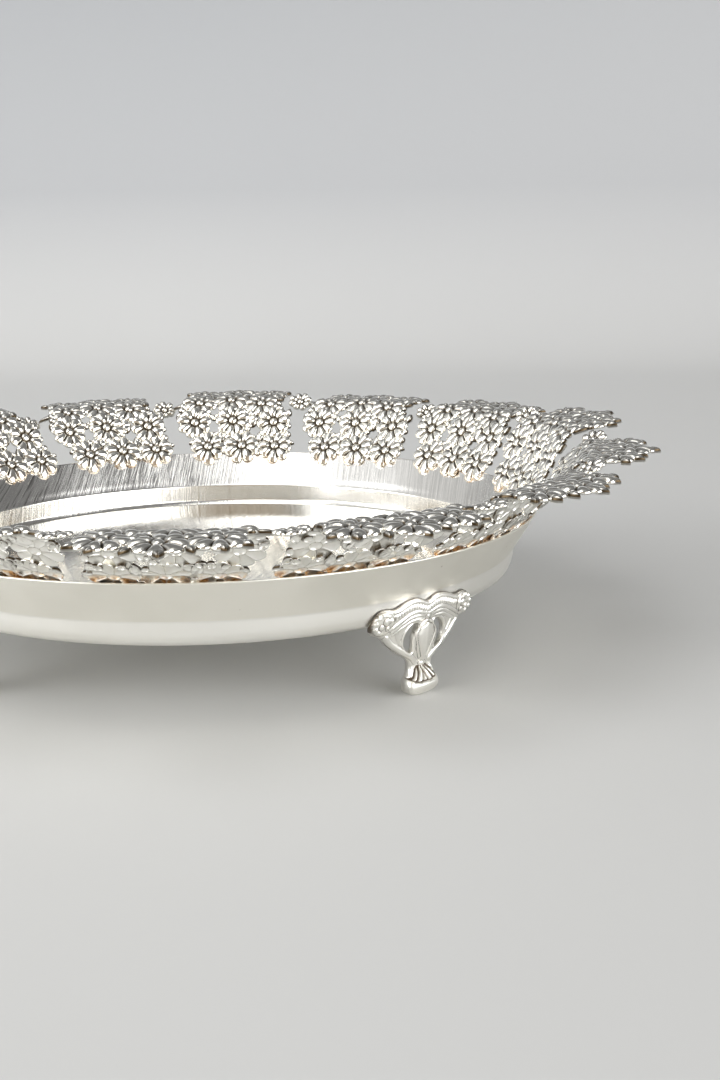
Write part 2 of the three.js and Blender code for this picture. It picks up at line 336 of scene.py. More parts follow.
def cast_material(name, groove, crest, rough_lo, rough_hi, dark_at, bright_at, stained=False):
    """Cast plate: bright crests, and a darker colour in the grooves that is partly tarnish and partly painted shade."""
    m, nt, b = new_material(name)
    g = Graph(nt)
    obj = g.object_coords()
    relief = g.attr("relief")
    mottle = g.noise(obj, 420.0, 3.0, 0.6)
    deep = g.math("ADD", relief, g.math("MULTIPLY", g.math("SUBTRACT", mottle, 0.5), 0.25))
    # the colour darkens towards low relief: partly tarnish, partly painted shade in the grooves
    base = g.mix(g.ramp(deep, dark_at, bright_at), groove, crest)
    rough = g.ramp(deep, dark_at, bright_at, rough_hi, rough_lo)
    if stained:
        back = g.attr("back")
        # on the back: a pale colour with thin dark lines of painted shade along the creases
        lines = g.ramp(relief, 0.02, 0.12)
        hollow = g.mix(lines, (0.42, 0.38, 0.30, 1), (0.97, 0.955, 0.90, 1))
        base = g.mix(back, base, hollow)
        rough = g.math("ADD", g.math("MULTIPLY", rough, g.math("SUBTRACT", 1.0, back)), g.math("MULTIPLY", back, 0.31))
    if stained:
        stain = g.attr("stain")
        blot = g.noise(obj, 260.0, 3.0, 0.6)
        heat = g.math("MULTIPLY", stain, g.ramp(blot, 0.36, 0.6), clamp=True)
        dark = g.noise(obj, 620.0, 2.0, 0.5)
        copper = g.mix(g.ramp(dark, 0.38, 0.6), (0.42, 0.20, 0.07, 1), (0.92, 0.62, 0.30, 1))
        base = g.mix(heat, base, copper)
        rough = g.math("ADD", rough, g.math("MULTIPLY", heat, 0.28))
    g.link(base, b.inputs["Base Color"])
    b.inputs["Metallic"].default_value = 1.0
    g.link(rough, b.inputs["Roughness"])
    pits = g.noise(obj, 1500.0, 2.0, 0.5)
    g.link(g.bump(pits, 0.12, 0.00008), b.inputs["Normal"])
    return m


MAT_SATIN = satin_material()
MAT_BAND_OUT = polished_band_material()
MAT_WALL_IN = brushed_material("brushed_wall", 0.8, 0.14, 0.26, (0.80, 0.785, 0.75, 1), (0.93, 0.915, 0.88, 1))
MAT_BAND_IN = brushed_material("brushed_band", 0.34, 0.12, 0.20, (0.87, 0.85, 0.80, 1), (0.95, 0.94, 0.90, 1), (0.55, 0.46, 0.36, 1), 0.62)
MAT_FLOOR = mirror_material()
# the first colour of each cast plate goes into its grooves: partly tarnish, partly painted shade
MAT_RIM = cast_material("cast_openwork", (0.085, 0.062, 0.036, 1), (0.97, 0.95, 0.885, 1), 0.10, 0.34, 0.34, 0.82, True)
MAT_FOOT = cast_material("cast_plate", (0.13, 0.10, 0.07, 1), (0.985, 0.97, 0.915, 1), 0.36, 0.44, -0.05, 0.55)


# ---------------------------------------------------------------- dish
def turned(name, profile, zones, materials, steps=384):
    """A closed shell turned about Z. zones holds the material index of each profile segment."""
    p = np.array(profile, float)
    n = len(p)
    length = np.r_[0, np.cumsum(np.hypot(*np.diff(p, axis=0).T))]
    ang = np.arange(steps + 1) * 2 * math.pi / steps
    A, I = np.meshgrid(ang, np.arange(n))
    v = np.stack([p[I, 0] * np.cos(A), p[I, 0] * np.sin(A), p[I, 1]], -1).reshape(-1, 3)
    uv = np.stack([A * 0.125, length[I] * MM], -1).reshape(-1, 2)
    # the last column of vertices repeats the first, so that the surface coordinates don't wrap back
    i, j = np.meshgrid(np.arange(n - 1), np.arange(steps), indexing="ij")
    a = i * (steps + 1) + j
    quads = np.stack([a, a + 1, a + steps + 2, a + steps + 1], -1).reshape(-1, 4)
    ob = make_object(name, v, quads, uv=uv)
    me = ob.data
    for mat in materials:
        me.materials.append(mat)
    idx = np.repeat(np.asarray(zones, np.int32), steps)
    me.polygons.foreach_set("material_index", idx)
    # vertices that fall on the axis or on each other are joined, and the seam with them
    import bmesh

    bm = bmesh.new()
    bm.from_mesh(me)
    bmesh.ops.remove_doubles(bm, verts=bm.verts, dist=1e-7)
    bmesh.ops.recalc_face_normals(bm, faces=bm.faces)
    bm.to_mesh(me)
    bm.free()
    return ob


def rounded(points, radii, steps=6):
    """A polyline with its corners rounded; radii gives how far from each corner the arc starts."""
    out = [points[0]]
    for i in range(1, len(points) - 1):
        p, a, b = (np.array(points[k], float) for k in (i, i - 1, i + 1))
        d = radii[i]
        if d <= 0:
            out.append(tuple(p))
            continue
        la, lb = np.linalg.norm(a - p), np.linalg.norm(b - p)
        s, e = p + (a - p) * min(d / la, 0.49), p + (b - p) * min(d / lb, 0.49)
        for k in range(steps + 1):
            t = k / steps
            out.append(tuple((1 - t) ** 2 * s + 2 * t * (1 - t) * p + t * t * e))
    out.append(points[-1])
    return out


def between(a, b, n):
    return [tuple(np.array(a) + (np.array(b) - np.array(a)) * k / n) for k in range(1, n)]


def build_dish():
    outer_low = rounded(
        [(0, 28.0), (60, 28.0), (119.0, 28.0), (121.8, 29.4), (123.1, 31.8), (123.6, 34.6), (123.9, 37.2), (124.12, 37.85)],
        [0, 0, 2.0, 1.4, 1.4, 1.2, 0.3, 0],
    )
    outer_high = rounded(
        [(124.12, 37.85), (124.6, 38.65), (126.0, 41.1), (132.85, 52.15), (133.32, 52.9), (133.05, 53.32), (132.55, 53.3)],
        [0, 0.3, 1.5, 0.5, 0.3, 0.25, 0],
        4,
    )
    inner_high = rounded(
        [(132.55, 53.3), (132.2, 52.8), (131.9, 52.3), (125.05, 41.2), (123.75, 38.7)],
        [0, 0.3, 0.3, 1.0, 0],
        4,
    )
    inner_low = rounded(
        [(123.75, 38.7), (123.3, 38.1), (122.35, 30.9), (121.6, 29.6), (120.2, 28.9), (60, 28.9), (0, 28.9)],
        [0, 0.4, 0.4, 0.3, 0.3, 0, 0],
    )
    profile, zones = [outer_low[0]], []
    for part, zone in ((outer_low, 1), (outer_high, 0), (inner_high, 2), (inner_low, 3)):
        for q in part[1:]:
            profile.append(q)
            zones.append(zone)
    ob = turned("dish_shell", profile, zones, [MAT_SATIN, MAT_BAND_OUT, MAT_WALL_IN, MAT_BAND_IN])
    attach(ob, "root")
    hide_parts("tray_body")
    return ob


def build_floor():
    prof = [(0, 29.2), (60, 29.2), (119.0, 29.2), (119.4, 29.2), (120.3, 29.35), (120.9, 29.68), (121.0, 29.78), (121.0, 29.84), (120.94, 29.9)]
    prof += [(120.8, 29.9), (120.6, 29.9), (120.0, 29.9), (110, 29.9), (60, 29.9), (0, 29.9)]
    ob = turned("floor_mirror", prof, [0] * (len(prof) - 1), [MAT_FLOOR])
    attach(ob, "root")
    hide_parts("floor_plate")
    return ob


# ---------------------------------------------------------------- rim panels
_p = np.array(RIM_LINE)
_k = np.r_[0, np.cumsum(np.hypot(*np.diff(_p, axis=0).T))]
_dense = np.linspace(0, _k[-1], 1200)
_window = np.hanning(61)
_window /= _window.sum()


def _soften(v):
    e = np.r_[v[0] + (v[1] - v[0]) * np.arange(-30, 0), v, v[-1] + (v[-1] - v[-2]) * np.arange(1, 31)]
    return np.convolve(e, _window, "valid")


LINE_R = _soften(natural_spline(_k, _p[:, 0], _dense))
LINE_Z = _soften(natural_spline(_k, _p[:, 1], _dense) + EDGE_Z)
LINE_S = _dense - EDGE_S
LINE_TR, LINE_TZ = np.gradient(LINE_R, LINE_S), np.gradient(LINE_Z, LINE_S)
_l = np.hypot(LINE_TR, LINE_TZ)
LINE_TR, LINE_TZ = LINE_TR / _l, LINE_TZ / _l


def rim_line(s):
    """Radius, height and inward normal of the rim's middle line."""
    sc = np.clip(s, LINE_S[0], LINE_S[-1])
    r, z = np.interp(sc, LINE_S, LINE_R), np.interp(sc, LINE_S, LINE_Z)
    tr, tz = np.interp(sc, LINE_S, LINE_TR), np.interp(sc, LINE_S, LINE_TZ)
    return r + (s - sc) * tr, z + (s - sc) * tz, -tz, tr


def rim_place(t, s, h, k):
    """Places points of the pattern (degrees, mm, mm) on panel k."""
    r, z, nr, nz = rim_line(s)
    r, z = r + h * nr, z + h * nz
    up = z - EDGE_Z
    a = PANEL_LEAN[k] * np.clip((up + 1.0) / 6.0, 0, 1)
    dr = r - EDGE_R
    r2 = EDGE_R + dr * np.cos(a) + up * np.sin(a)
    z2 = EDGE_Z - dr * np.sin(a) + up * np.cos(a)
    T = np.radians(FIRST_PANEL_DEG + PITCH * k + t)
    return np.stack([r2 * np.sin(T), r2 * np.cos(T), z2], -1)


class Pattern:
    """Collects the shells of one panel in (degrees, mm along, mm off) coordinates."""

    def __init__(self):
        self.t, self.s, self.h, self.relief, self.stain, self.back = [], [], [], [], [], []
        self.quads, self.tris = [], []
        self.count = 0

    def add(self, tc, sc, a, b, h, relief, stain, quads, tris, back):
        s = sc + b
        r = rim_line(s)[0]
        self.t.append(tc + np.degrees(a / r))
        self.s.append(s)
        self.h.append(h)
        self.relief.append(relief)
        self.stain.append(stain)
        self.back.append(np.asarray(back, float))
        self.quads.append(np.asarray(quads, int).reshape(-1, 4) + self.count)
        self.tris.append(np.asarray(tris, int).reshape(-1, 3) + self.count)
        self.count += len(a)

    def arrays(self):
        cat = np.concatenate
        return [cat(v) for v in (self.t, self.s, self.h, self.relief, self.stain, self.back, self.quads, self.tris)]


def shell_faces(ni, nj, wrap):
    """Faces of a front grid and a back grid of ni rows and nj columns, joined round their edges."""
    nf = ni * nj
    jj = np.arange(nj if wrap else nj - 1)
    i, j = np.meshgrid(np.arange(ni - 1), jj, indexing="ij")
    j2 = (j + 1) % nj
    front = np.stack([i * nj + j, i * nj + j2, (i + 1) * nj + j2, (i + 1) * nj + j], -1).reshape(-1, 4)
    back = front[:, ::-1] + nf
    j2 = (jj + 1) % nj
    last = (ni - 1) * nj
    edge = np.stack([last + jj, last + j2, nf + last + j2, nf + last + jj], -1)
    return front, back, edge


def flower_shell(R, n, turn, rng, bead=2.05, H=1.05, cup=0.0, m=8, long_down=0.0):
    """One flower: n cushioned petals round a bead, as a thin shell hollow at the back."""
    j = np.arange(n * m)
    x = np.sin(math.pi / 2 * (2 * (j % m) / m - 1))
    k = j // m
    ang = (k + 0.5 + x / 2) * 2 * math.pi / n + turn
    size = 1 + rng.uniform(-0.06, 0.05, n)
    tall = 1 + rng.uniform(-0.18, 0.18, n)
    tip = rng.uniform(-0.35, 0.35, n)
    mid = (np.arange(n) + 0.5) * 2 * math.pi / n + turn
    size = size + long_down * np.clip(-np.sin(mid), 0, 1) ** 4
    notch = 0.73
    rho_max = R * (notch + (size[k] - notch) * np.sqrt(np.maximum(0, 1 - np.abs(x) ** 2.2)))
    dome = np.maximum(0, 1 - np.abs(x) ** 2.5) ** 0.52
    rows = []  # (rho, front height, relief) for every angular sample
    one = np.ones_like(ang)
    for q in (0.0, 0.38, 0.66, 0.86, 0.98):
        rows.append((one * bead * q, one * (-0.35 + 1.35 * math.sqrt(1 - q * q)), one * (0.95 - 0.5 * q**4)))
    rows.append((one * bead * 1.08, -0.62 + 0.08 * dome, one * 0.0))
    r0 = bead * 1.18
    for q in (0.0, 0.06, 0.14, 0.25, 0.38, 0.52, 0.66, 0.79, 0.89, 0.96, 1.0):
        G = 0.2 + 0.8 * math.sin(math.pi / 2 * min(q / 0.36, 1.0)) ** 0.8 if q > 0 else 0.12
        if q > 0.52:
            G = math.sqrt(max(0.0, 1 - ((q - 0.52) / 0.485) ** 2.6))
        rho = r0 + (rho_max - r0) * q
        crease = -0.55 - 0.05 * q
        h = crease + (H * tall[k] + tip[k] * q - crease) * dome * G
        # relief sets the colour: it is low in the groove round the bead, near the centre and in the creases, giving
        # painted shade and tarnish there; the tips stay bright
        unshaded_untarnished = min(1.0, 0.42 + 2.4 * q)
        tip_unshaded_untarnished = float(smoothstep(np.float64(q), 0.8, 0.95))
        rows.append((rho, h, np.clip(dome * unshaded_untarnished * (1 - tip_unshaded_untarnished) + tip_unshaded_untarnished * (0.74 + 0.26 * dome), 0, 1)))
    rho = np.stack([r[0] for r in rows])
    hf = np.stack([r[1] for r in rows]) + cup * (rho / R) ** 2
    rel = np.stack([r[2] for r in rows])
    a, b = rho * np.cos(ang), rho * np.sin(ang)
    # the back follows the front a little softened
    back_h = hf * 0.46 - 0.86 + 0.7 * cup * (rho / R) ** 2
    back_h[:6] = hf[:6] * 0.75 - 0.92
    ni, nj = rho.shape
    front, back, edge = shell_faces(ni, nj, True)
    return (
        np.concatenate([a.ravel(), a.ravel()]),
        np.concatenate([b.ravel(), b.ravel()]),
        np.concatenate([hf.ravel(), back_h.ravel()]),
        np.concatenate([rel.ravel(), rel.ravel()]),
        np.concatenate([front, back, edge]),
        ni * nj,
    )


def bud_shell(r, rng):
    """A small cushion that fills the corner between flowers."""
    nj, q = 18, np.array([0.0, 0.35, 0.62, 0.82, 0.94, 1.0])
    long, turn = rng.uniform(1.0, 1.25), rng.uniform(0, math.pi)
    t = np.arange(nj) * 2 * math.pi / nj
    Q, T = np.meshgrid(q, t, indexing="ij")
    u, v = Q * r * long * np.cos(T), Q * r / long * np.sin(T)
    a, b = u * math.cos(turn) - v * math.sin(turn), u * math.sin(turn) + v * math.cos(turn)
    top = min(0.95, 0.35 + 0.28 * r)
    h = -0.6 + (top + 0.6) * np.sqrt(np.clip(1 - Q**2.6, 0, 1))
    # relief falls towards the edge, which darkens the colour there as painted shade and tarnish
    rel = np.clip(np.sqrt(np.clip(1 - Q**2.6, 0, 1)), 0, 1)
    front, back, edge = shell_faces(len(q), nj, True)
    return (
        np.concatenate([a.ravel(), a.ravel()]),
        np.concatenate([b.ravel(), b.ravel()]),
        np.concatenate([h.ravel(), h.ravel() * 0.6 - 0.85]),
        np.concatenate([rel.ravel(), 0.62 + 0.38 * rel.ravel()]),
        np.concatenate([front, back, edge]),
        a.size,
    )


def leaf_shell(L, W, turn, H=0.9, rise=0.0, rib=0.22):
    """A pointed domed leaf of length L and width W from (0, 0) towards turn (radians, from up, clockwise)."""
    x = np.sin(math.pi / 2 * np.linspace(-1, 1, 9))
    y = np.linspace(0.0, 1.0, 11)
    X, Y = np.meshgrid(x, y)
    w = W / 2 * np.maximum(np.sin(math.pi * np.clip(Y, 0.004, 0.996) ** 0.8), 0.02) ** 0.85
    dome = np.maximum(0, 1 - np.abs(X) ** 2.4) ** 0.55
    body = np.maximum(0, np.sin(math.pi * Y)) ** 0.5
    h = -0.6 + (H + 0.6) * dome * body - rib * np.exp(-((X / 0.2) ** 2)) * body + rise * Y
    u, v = X * w, Y * L
    c, s = math.cos(turn), math.sin(turn)
    a, b = u * c + v * s, -u * s + v * c
    # relief falls towards the edges and along the rib, which darkens the colour there as painted shade and tarnish
    rel = np.clip(dome * body - 0.35 * np.exp(-((X / 0.2) ** 2)), 0, 1)
    nj, ni = 9, 11
    front, back, edge = shell_faces(ni, nj, False)
    nf = ni * nj
    hb = h - 0.9
    # close the two long sides and the start as well
    left = np.array([[i * nj, (i + 1) * nj, nf + (i + 1) * nj, nf + i * nj] for i in range(ni - 1)])
    right = np.array([[(i + 1) * nj + nj - 1, i * nj + nj - 1, nf + i * nj + nj - 1, nf + (i + 1) * nj + nj - 1] for i in range(ni - 1)])
    first = np.array([[j + 1, j, nf + j, nf + j + 1] for j in range(nj - 1)])
    return (
        np.concatenate([a.ravel(), a.ravel()]),
        np.concatenate([b.ravel(), b.ravel()]),
        np.concatenate([h.ravel(), hb.ravel()]),
        np.concatenate([rel.ravel(), 0.62 + 0.38 * rel.ravel()]),
        np.concatenate([front, back, edge, left, right, first]),
        nf,
    )


# degrees, mm along, radius, petals, turn, height, cup, extra length of the lowest petals
FLOWERS = [
    (-7.20, 4.2, 9.2, 8, 0.414, 0.10, -0.2, 0.07),
    (0.10, 4.4, 9.3, 8, 0.064, 0.30, 0.0, 0.07),
    (7.30, 4.2, 9.2, 8, 0.286, 0.10, -0.2, 0.07),
    (-9.65, 18.9, 8.9, 9, 0.479, 0.30, 0.2, 0.0),
    (-1.90, 19.4, 9.0, 9, 0.678, 0.50, 0.0, 0.0),
    (6.50, 18.5, 9.0, 8, 0.566, 0.30, 0.2, 0.0),
    (-8.35, 31.6, 9.1, 8, 0.071, 0.10, -0.3, 0.0),
    (-2.25, 33.6, 9.2, 8, 0.550, 0.25, -0.2, 0.0),
    (3.60, 30.6, 9.1, 8, 0.250, 0.00, -0.3, 0.0),
    (-7.05, 45.0, 9.2, 8, 0.457, 0.20, -0.4, 0.0),
    (-1.20, 48.5, 9.4, 8, 0.414, 0.40, -0.3, 0.0),
    (4.65, 44.8, 9.2, 8, 0.279, 0.20, -0.4, 0.0),
]
# degrees, mm along, length, width, turn (degrees clockwise from outwards), height, rise
LEAVES = [
    (-4.1, 7.2, 7.0, 4.0, -10, -0.1, 0.0),
    (3.5, 6.4, 7.4, 3.8, 8, -0.1, 0.0),
    (2.2, 15.6, 8.0, 4.8, 0, -0.1, 0.0),
    (1.0, 35.4, 8.6, 5.2, -2, 0.0, 0.0),
    (-5.6, 35.4, 6.6, 3.6, 4, -0.2, 0.0),
    (7.0, 32.6, 7.0, 3.8, 6, -0.2, 0.0),
    (-4.2, 49.4, 6.0, 3.2, -14, -0.3, 0.0),
    (1.7, 49.6, 6.2, 3.4, 14, -0.3, 0.0),
    (-1.4, 53.4, 6.6, 4.0, -4, 0.1, 0.0),
    (-7.4, 50.2, 5.4, 3.6, -8, 0.0, 0.0),
    (5.1, 50.2, 5.4, 3.6, 10, 0.0, 0.0),
    (-9.3, 48.0, 5.0, 3.4, -40, -0.1, 0.0),
    (7.0, 47.6, 5.0, 3.4, 42, -0.1, 0.0),
    (9.2, 21.6, 5.2, 3.4, 12, 0.0, 0.0),
    (-11.9, 20.0, 4.6, 3.2, -50, 0.0, 0.0),
]
# degrees, mm along, radius
BUDS = [
    (2.2, 20.6, 2.4), (0.95, 40.6, 2.4), (-3.5, 11.0, 2.3), (3.9, 10.6, 1.8), (6.9, 37.2, 1.8),
    (-5.8, 21.6, 1.6), (-6.6, 22.9, 1.6), (-4.9, 22.4, 1.6), (-12.0, 26.6, 1.7), (9.7, 11.8, 1.7), (8.7, 11.4, 1.6),
    (7.3, 26.9, 1.9), (-4.0, 41.2, 2.2), (-12.5, 23.6, 1.6), (-4.9, 12.5, 1.7), (-6.1, 12.2, 1.6),
    (-11.7, 30.0, 1.7), (1.7, 42.6, 1.9), (1.8, 23.6, 1.8), (0.6, 24.6, 1.6), (1.2, 14.6, 1.3), (1.7, 16.4, 1.2),
    (9.7, 16.6, 1.4), (7.2, 30.4, 1.3), (-10.6, 36.8, 1.4), (7.2, 40.8, 1.4), (10.7, 6.6, 1.4),
    (-10.5, 7.6, 1.5), (2.4, 10.5, 1.2), (-3.7, 1.4, 1.5), (3.6, 0.0, 1.4), (-8.0, 11.0, 1.4), (5.4, 11.6, 1.3),
    (-7.9, 26.6, 1.3), (-5.4, 29.6, 1.4), (4.5, 23.4, 1.3), (-5.2, 40.2, 1.6), (4.4, 38.2, 1.6), (7.7, 22.6, 1.5),
]
# the free flower over the gap: degrees, mm along, radius, petals, turn
EAR = (-15.0, 37.0, 6.0, 8, 0.15)
EAR_TILT = [30, 34, 36, 34, 24, 18, 16, 4, 2, 3, 12, 20, 26, 28]  # outer side raised, degrees
EAR_LIFT = [-6.6, -5.6, -1.2, -5.0, -2.0, -1.4, -0.2, -0.8, -0.8, -0.8, -2.0, -2.6, -3.0, -3.6]
EAR_ROLL = [8, 6, 4, 6, 14, 18, 18, 6, 4, 4, 8, 10, 10, 8]  # side at the gap raised, degrees


def build_pattern():
    rng = np.random.default_rng(7)
    pat = Pattern()

    def put(tc, sc, shell, h0, slope=(0.0, 0.0), heat=True):
        a, b, h, rel, quads, nf = shell
        h = h + h0 + slope[0] * a + slope[1] * b
        s = sc + b
        back = np.arange(len(a)) >= nf
        # heat tint near the joint: strong on the back, faint on the tips inside
        low = (1 - smoothstep(s, 1.4, 4.4)) * smoothstep(rel, 0.2, 0.6)
        stain = np.where(back, low, 0.42 * (1 - smoothstep(s, -5.0, 1.0)))
        pat.add(tc, sc, a, b, h, rel, np.clip(stain * heat, 0, 1), quads, [], back)

    for tc, sc, R, n, turn, h0, cup, down in FLOWERS:
        put(tc, sc, flower_shell(R, n, turn, rng, cup=cup, long_down=down), h0)
    for tc, sc, L, W, turn, h0, rise in LEAVES:
        put(tc, sc, leaf_shell(L, W, math.radians(turn), rise=rise), h0)
    for tc, sc, r in BUDS:
        put(tc, sc, bud_shell(r, rng), rng.uniform(-0.25, 0.0))
    return pat.arrays()


def build_ear(k):
    """The free flower of panel k with its short arm; each one is bent a little differently."""
    rng = np.random.default_rng(40 + k)
    pat = Pattern()
    a, b, h, rel, quads, nf = flower_shell(EAR[2], EAR[3], EAR[4] + 0.3 * k, rng, bead=1.6, H=0.9, cup=0.5)
    tilt, roll = math.radians(EAR_TILT[k]), math.radians(EAR_ROLL[k])
    a, h = a * math.cos(roll) + h * math.sin(roll), h * math.cos(roll) - a * math.sin(roll)
    b, h = b * math.cos(tilt) - h * math.sin(tilt), b * math.sin(tilt) + h * math.cos(tilt)
    pat.add(EAR[0], EAR[1], a, b, h + EAR_LIFT[k], rel, rel * 0, quads, [], np.arange(len(a)) >= nf)
    a, b, h, rel, quads, nf = leaf_shell(8.6, 4.2, math.radians(-60), H=0.7, rise=EAR_LIFT[k] * 0.7)
    pat.add(-10.6, 31.0, a, b, h - 0.3, rel, rel * 0, quads, [], np.arange(len(a)) >= nf)
    return pat.arrays()


def build_rim():
    t, s, h, relief, stain, back, quads, tris = build_pattern()
    obs = []
    for k in range(PANELS):
        et, es, eh, erel, estain, eback, equads, _ = build_ear(k)
        xyz = rim_place(np.r_[t, et], np.r_[s, es], np.r_[h, eh], k)
        name = "openwork_%02d" % (k + 1)
        ob = make_object(
            name,
            xyz,
            np.vstack([quads, equads + len(t)]),
            tris,
            {"relief": np.r_[relief, erel], "stain": np.r_[stain, estain], "back": np.r_[back, eback]},
        )
        ob.data.materials.append(MAT_RIM)
        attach(ob, "root")
        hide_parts("rim_panel_%02d" % (k + 1))
        obs.append(ob)
    return obs


# ---------------------------------------------------------------- feet
FOOT_SECTION = [
    (37.2, 125.1), (33.0, 125.3), (27.8, 124.2), (20.5, 122.0), (13.8, 121.1), (9.0, 121.6),
    (5.4, 122.5), (1.8, 122.3), (0.0, 121.0),
]
FOOT_BACK = [
    (37.2, 124.1), (35.2, 123.8), (33.2, 123.7), (30.9, 123.1), (28.7, 121.5), (26.0, 120.7), (20.0, 119.6),
    (13.5, 118.8), (8.6, 118.2), (3.8, 117.6), (0.0, 117.8),
]
FOOT_HALF = [
    (0, 35.2), (1.6, 35.7), (3.4, 36.5), (5.6, 36.9), (8.4, 36.7), (11.2, 35.9), (13.6, 34.9), (15.6, 34.5),
    (18.0, 34.9), (20.4, 34.8), (22.4, 33.8), (23.8, 32.0), (24.5, 29.8), (24.0, 27.6), (22.3, 25.8), (20.0, 24.7),
    (18.4, 23.8), (16.6, 21.4), (14.0, 18.9), (11.0, 16.5), (8.2, 14.9), (6.4, 13.3), (5.5, 11.4), (5.4, 9.6),
    (5.9, 7.8), (6.8, 6.0), (7.2, 4.0), (6.9, 2.4), (5.8, 1.0), (4.2, 0.2), (2.2, 0.0), (0, 0.0),
]
FOOT_SLOT = [
    (4.1, 27.2), (5.8, 27.4), (7.8, 26.4), (9.4, 24.4), (9.9, 22.0), (9.4, 19.6), (8.0, 17.7), (6.4, 16.8),
    (5.5, 17.6), (5.6, 19.6), (5.8, 21.4), (5.6, 23.2), (4.8, 24.9), (3.9, 26.2),
]


def closed_curve(points, per=5):
    """Catmull-Rom through closed points."""
    p = np.array(points, float)
    n = len(p)
    out = []
    for i in range(n):
        a, b, c, d = p[i - 1], p[i], p[(i + 1) % n], p[(i + 2) % n]
        for k in range(per):
            t = k / per
            out.append(
                0.5 * (2 * b + (c - a) * t + (2 * a - 5 * b + 4 * c - d) * t * t + (3 * b - a - 3 * c + d) * t**3)
            )
    return np.array(out)


def open_curve(points, per=6):
    p = np.array(points, float)
    p = np.vstack([2 * p[0] - p[1], p, 2 * p[-1] - p[-2]])
    out = []
    for i in range(1, len(p) - 2):
        a, b, c, d = p[i - 1], p[i], p[i + 1], p[i + 2]
        for k in range(per):
            t = k / per
            out.append(
                0.5 * (2 * b + (c - a) * t + (2 * a - 5 * b + 4 * c - d) * t * t + (3 * b - a - 3 * c + d) * t**3)
            )
    out.append(p[-2])
    return np.array(out)


def distance(U, V, poly, closed=True):
    """Distance to a polyline, and the length along it of the nearest point."""
    pts = np.vstack([poly, poly[:1]]) if closed else poly
    best = np.full(U.shape, 1e9)
    where = np.zeros(U.shape)
    run = 0.0
    for (x1, y1), (x2, y2) in zip(pts[:-1], pts[1:]):
        dx, dy = x2 - x1, y2 - y1
        l2 = dx * dx + dy * dy
        if l2 < 1e-12:
            continue
        f = np.clip(((U - x1) * dx + (V - y1) * dy) / l2, 0, 1)
        d = np.hypot(U - x1 - f * dx, V - y1 - f * dy)
        m = d < best
        best[m] = d[m]
        where[m] = (run + f * math.sqrt(l2))[m]
        run += math.sqrt(l2)
    return best, where


def inside(U, V, poly):
    c = np.zeros(U.shape, bool)
    for i in range(len(poly)):
        (x1, y1), (x2, y2) = poly[i - 1], poly[i]
        if y1 == y2:
            continue
        m = (y1 > V) != (y2 > V)
        c ^= m & (U < (x2 - x1) * (V - y1) / (y2 - y1) + x1)
    return c


def signed(U, V, poly):
    """Positive inside."""
    d = distance(U, V, poly)[0]
    return np.where(inside(U, V, poly), d, -d)


def foot_surface(u, v, out):
    """Points of a foot facing +Y: across, up, and millimetres out from its front surface."""
    sec = np.array(FOOT_SECTION[::-1])
    zs = np.linspace(0, 37.2, 200)
    rr = natural_spline(sec[:, 0], sec[:, 1], zs)
    r = np.interp(v, zs, rr)
    rise = np.sin(math.pi * np.clip((v - 11) / 17, 0, 1))
    r = r + rise * np.maximum(1.5 - 2.6 * (u / 20) ** 2, -1.1) + out
    y = np.sqrt(np.maximum(r * r - u * u, 1.0))
    return np.stack([u, y, v], -1)


def foot_thickness(v):
    sec, back = np.array(FOOT_SECTION[::-1]), np.array(FOOT_BACK[::-1])
    return np.interp(v, sec[:, 0], sec[:, 1]) - np.interp(v, back[:, 0], back[:, 1])


def ridge(d, w, h):
    """A rounded bead of half width w and height h on distance d."""
    return h * np.sqrt(np.clip(1 - (d / w) ** 2, 0, 1))


